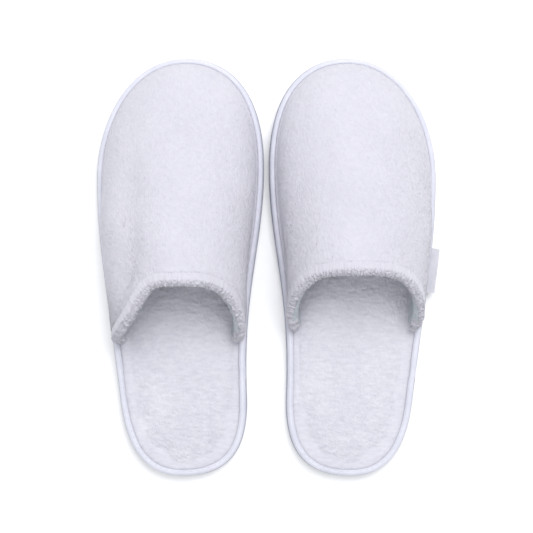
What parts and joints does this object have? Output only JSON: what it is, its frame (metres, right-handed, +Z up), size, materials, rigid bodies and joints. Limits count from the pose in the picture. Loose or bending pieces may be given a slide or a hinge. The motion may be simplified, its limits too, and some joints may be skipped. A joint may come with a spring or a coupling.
{
  "type": "spa slippers",
  "caption": "White closed-toe spa slippers with plush terry uppers, padded terry insoles, bound edges and flat EVA foam soles.",
  "frame": {"origin": "on the floor, in the middle of the pair's footprint box", "axes": "+X towards the right slipper, +Y towards the toes, +Z up"},
  "size_m": [0.2296, 0.28, 0.0644],
  "materials": {
    "terry": "matte",
    "binding_tape": "matte",
    "lining_cloth": "matte",
    "padding_foam": "matte",
    "stiffener_board": "matte",
    "hot_melt_film": "satin",
    "eva_foam": "matte",
    "sewing_thread": "matte",
    "label_ribbon": "satin"
  },
  "bodies": {
    "left_front": {"left_outsole_front": "eva_foam", "left_glue_film_front": "hot_melt_film", "left_insole_board_front": "stiffener_board", "left_foam_pad_front": "padding_foam", "left_insole_cover_front": "terry", "left_edge_binding_front": "binding_tape", "left_binding_stitches_front": "sewing_thread", "left_upper_terry": "terry", "left_upper_interlining": "padding_foam", "left_upper_lining": "lining_cloth", "left_topline_roll": "terry", "left_hem_stitches": "sewing_thread"},
    "left_heel": {"left_outsole_heel": "eva_foam", "left_glue_film_heel": "hot_melt_film", "left_insole_board_heel": "stiffener_board", "left_foam_pad_heel": "padding_foam", "left_insole_cover_heel": "terry", "left_edge_binding_heel": "binding_tape", "left_binding_stitches_heel": "sewing_thread"},
    "right_front": {"right_outsole_front": "eva_foam", "right_glue_film_front": "hot_melt_film", "right_insole_board_front": "stiffener_board", "right_foam_pad_front": "padding_foam", "right_insole_cover_front": "terry", "right_edge_binding_front": "binding_tape", "right_binding_stitches_front": "sewing_thread", "right_upper_terry": "terry", "right_upper_interlining": "padding_foam", "right_upper_lining": "lining_cloth", "right_topline_roll": "terry", "right_hem_stitches": "sewing_thread"},
    "right_heel": {"right_outsole_heel": "eva_foam", "right_glue_film_heel": "hot_melt_film", "right_insole_board_heel": "stiffener_board", "right_foam_pad_heel": "padding_foam", "right_insole_cover_heel": "terry", "right_edge_binding_heel": "binding_tape", "right_binding_stitches_heel": "sewing_thread"},
    "right_label": {"right_size_label": "label_ribbon", "right_label_stitches": "sewing_thread"}
  },
  "joints": [
    {"name": "left_sole_flex", "type": "hinge", "parent": "left_front", "child": "left_heel", "pos_m": [-0.05735, -0.056, 0.0126], "axis": [-1, 0, 0], "range_deg": [0, 70], "stiffness_Nm_per_rad": 0.15},
    {"name": "right_slipper_shift", "type": "slide", "parent": "left_front", "child": "right_front", "axis": [1, 0, 0], "range_m": [0, 0.12]},
    {"name": "right_sole_flex", "type": "hinge", "parent": "right_front", "child": "right_heel", "pos_m": [0.05485, -0.056, 0.0126], "axis": [-1, 0, 0], "range_deg": [0, 70], "stiffness_Nm_per_rad": 0.15},
    {"name": "right_label_fold", "type": "hinge", "parent": "right_front", "child": "right_label", "pos_m": [0.10814, -0.00201, 0.00815], "axis": [-0.1225, -0.9925, 0], "range_deg": [-35, 75], "stiffness_Nm_per_rad": 0.0001}
  ]
}
